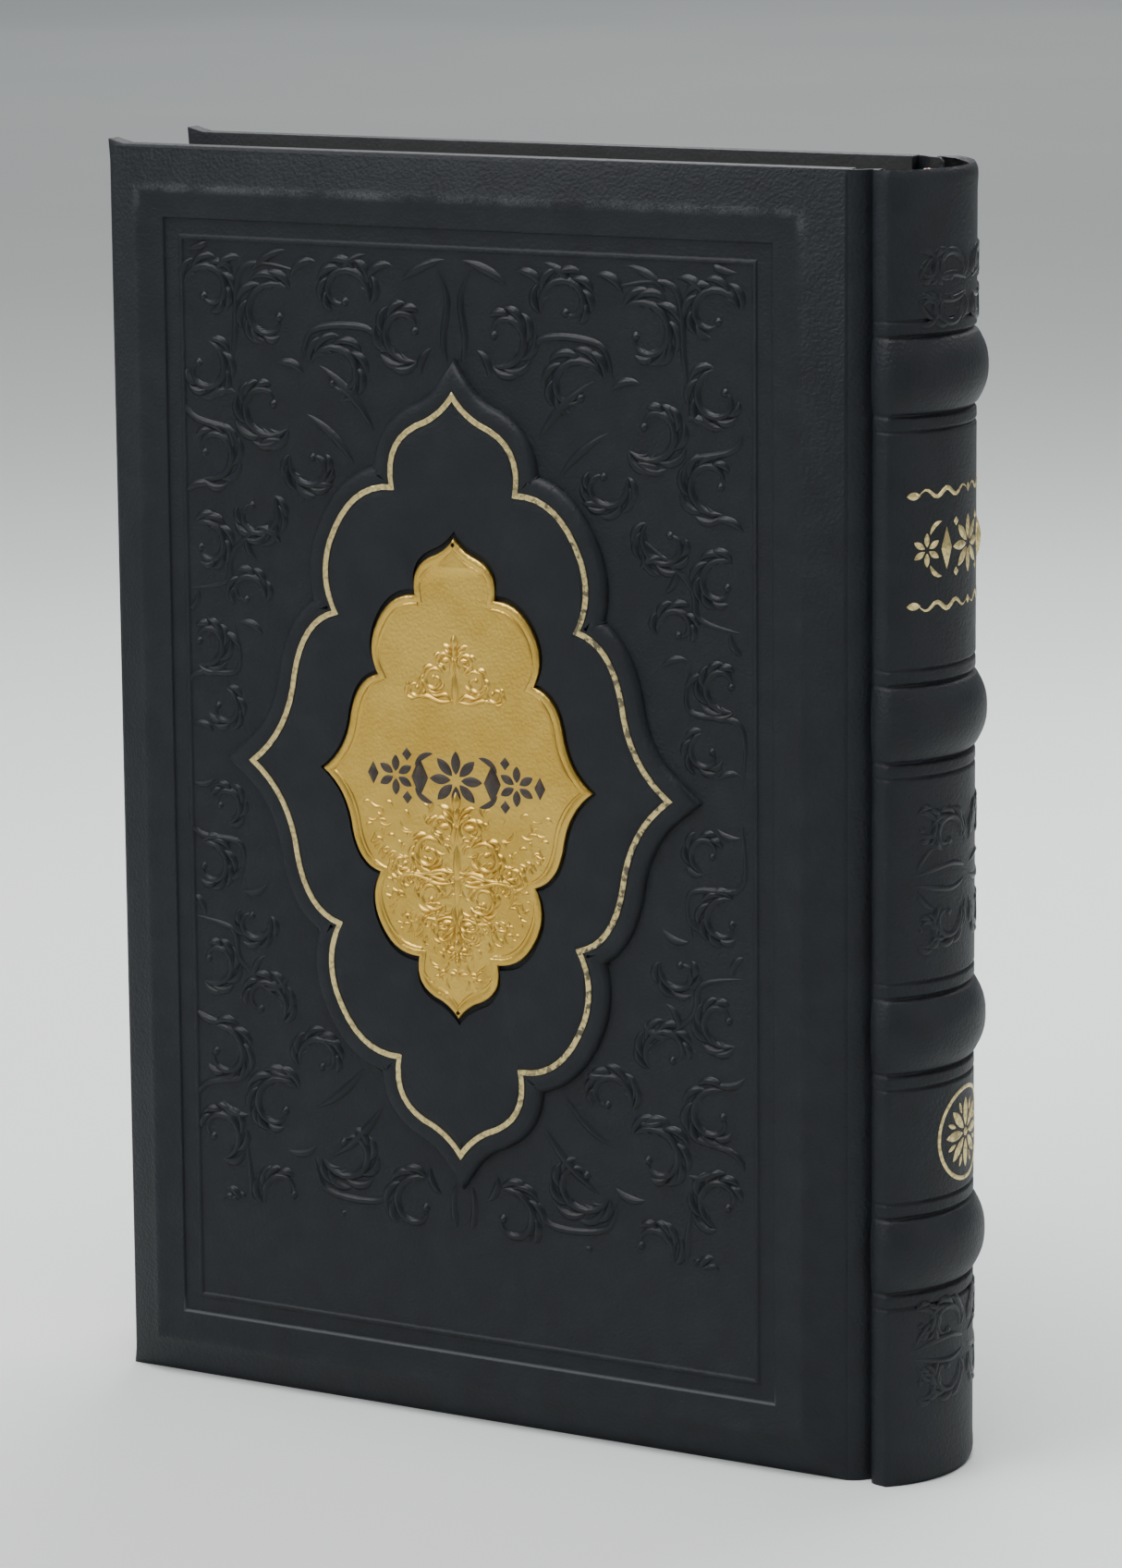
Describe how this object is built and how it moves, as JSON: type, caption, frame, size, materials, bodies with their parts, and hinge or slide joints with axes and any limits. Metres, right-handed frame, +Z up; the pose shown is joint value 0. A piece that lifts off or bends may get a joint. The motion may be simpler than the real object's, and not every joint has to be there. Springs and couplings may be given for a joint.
{
  "type": "prayer book",
  "caption": "Hardcover prayer book in dark leather with padded bevelled covers, a raised medallion with a gilt outline, a gold plaque and a spine with raised bands.",
  "frame": {"origin": "centre of the closed book's bounding box, at the surface it stands on", "axes": "+Z up along the covers' height; front cover faces -Y; fore edge towards -X, spine towards +X"},
  "size_m": [0.121, 0.0284, 0.17],
  "materials": {
    "leather": "fine-grained, satin",
    "board": "grey board",
    "paper": "cream, matt",
    "endpaper": "laid, matt",
    "gilding": "foil, satin",
    "plaque_gold": "gold plated, stippled",
    "dark_enamel": "satin",
    "linen": "open weave",
    "silk": "ribbed silk"
  },
  "bodies": {
    "book_block": {"front_joint": "leather", "back_joint": "leather", "spine_leather": "leather", "spine_card": "board", "raised_bands": "board", "spine_title_gilt": "gilding", "spine_scroll_gilt": "gilding", "spine_rosette_gilt": "gilding", "spine_lining": "linen", "sewing_threads": "linen", "head_band": "silk", "tail_band": "silk", "front_gutter": "paper", "section_1": "paper", "section_2": "paper", "section_3": "paper", "section_4": "paper", "section_5": "paper", "section_6": "paper", "section_7": "paper", "section_8": "paper"},
    "front_cover": {"front_board": "board", "front_bevel_board": "board", "front_leather": "leather", "front_pastedown": "endpaper", "medallion_gilt_line": "gilding", "plaque": "plaque_gold", "plaque_filigree": "plaque_gold", "plaque_inlay": "dark_enamel"},
    "back_cover": {"back_board": "board", "back_bevel_board": "board", "back_leather": "leather", "back_pastedown": "endpaper"},
    "front_flyleaf": {"front_flyleaf": "endpaper"},
    "leaf_group_1": {"leaf_group_1": "paper"},
    "leaf_group_2": {"leaf_group_2": "paper"},
    "leaf_group_3": {"leaf_group_3": "paper"},
    "leaf_group_4": {"leaf_group_4": "paper"},
    "back_flyleaf": {"back_flyleaf": "endpaper"}
  },
  "joints": [
    {"name": "front_cover_hinge", "type": "hinge", "parent": "book_block", "child": "front_cover", "pos_m": [0.05025, -0.01119, 0.085], "axis": [0, 0, 1], "range_deg": [0, 120]},
    {"name": "back_cover_hinge", "type": "hinge", "parent": "book_block", "child": "back_cover", "pos_m": [0.05025, 0.01181, 0.085], "axis": [0, 0, -1], "range_deg": [0, 120]},
    {"name": "front_flyleaf_turn", "type": "hinge", "parent": "book_block", "child": "front_flyleaf", "pos_m": [0.0411, -0.00839, 0.085], "axis": [0, 0, 1], "range_deg": [0, 97]},
    {"name": "leaf_group_1_turn", "type": "hinge", "parent": "book_block", "child": "leaf_group_1", "pos_m": [0.0411, -0.00806, 0.085], "axis": [0, 0, 1], "range_deg": [0, 77.8]},
    {"name": "leaf_group_2_turn", "type": "hinge", "parent": "book_block", "child": "leaf_group_2", "pos_m": [0.0411, -0.00708, 0.085], "axis": [0, 0, 1], "range_deg": [0, 58.6]},
    {"name": "leaf_group_3_turn", "type": "hinge", "parent": "book_block", "child": "leaf_group_3", "pos_m": [0.0411, -0.0061, 0.085], "axis": [0, 0, 1], "range_deg": [0, 39.4]},
    {"name": "leaf_group_4_turn", "type": "hinge", "parent": "book_block", "child": "leaf_group_4", "pos_m": [0.0411, -0.00512, 0.085], "axis": [0, 0, 1], "range_deg": [0, 20.2]},
    {"name": "back_flyleaf_turn", "type": "hinge", "parent": "book_block", "child": "back_flyleaf", "pos_m": [0.0411, 0.00901, 0.085], "axis": [0, 0, -1], "range_deg": [0, 61]}
  ],
  "couplings": [
    {"joint": "front_flyleaf_turn", "follows": "front_cover_hinge", "ratio": 0.8},
    {"joint": "leaf_group_1_turn", "follows": "front_cover_hinge", "ratio": 0.64},
    {"joint": "leaf_group_2_turn", "follows": "front_cover_hinge", "ratio": 0.48},
    {"joint": "leaf_group_3_turn", "follows": "front_cover_hinge", "ratio": 0.32},
    {"joint": "leaf_group_4_turn", "follows": "front_cover_hinge", "ratio": 0.16},
    {"joint": "back_flyleaf_turn", "follows": "back_cover_hinge", "ratio": 0.5}
  ]
}
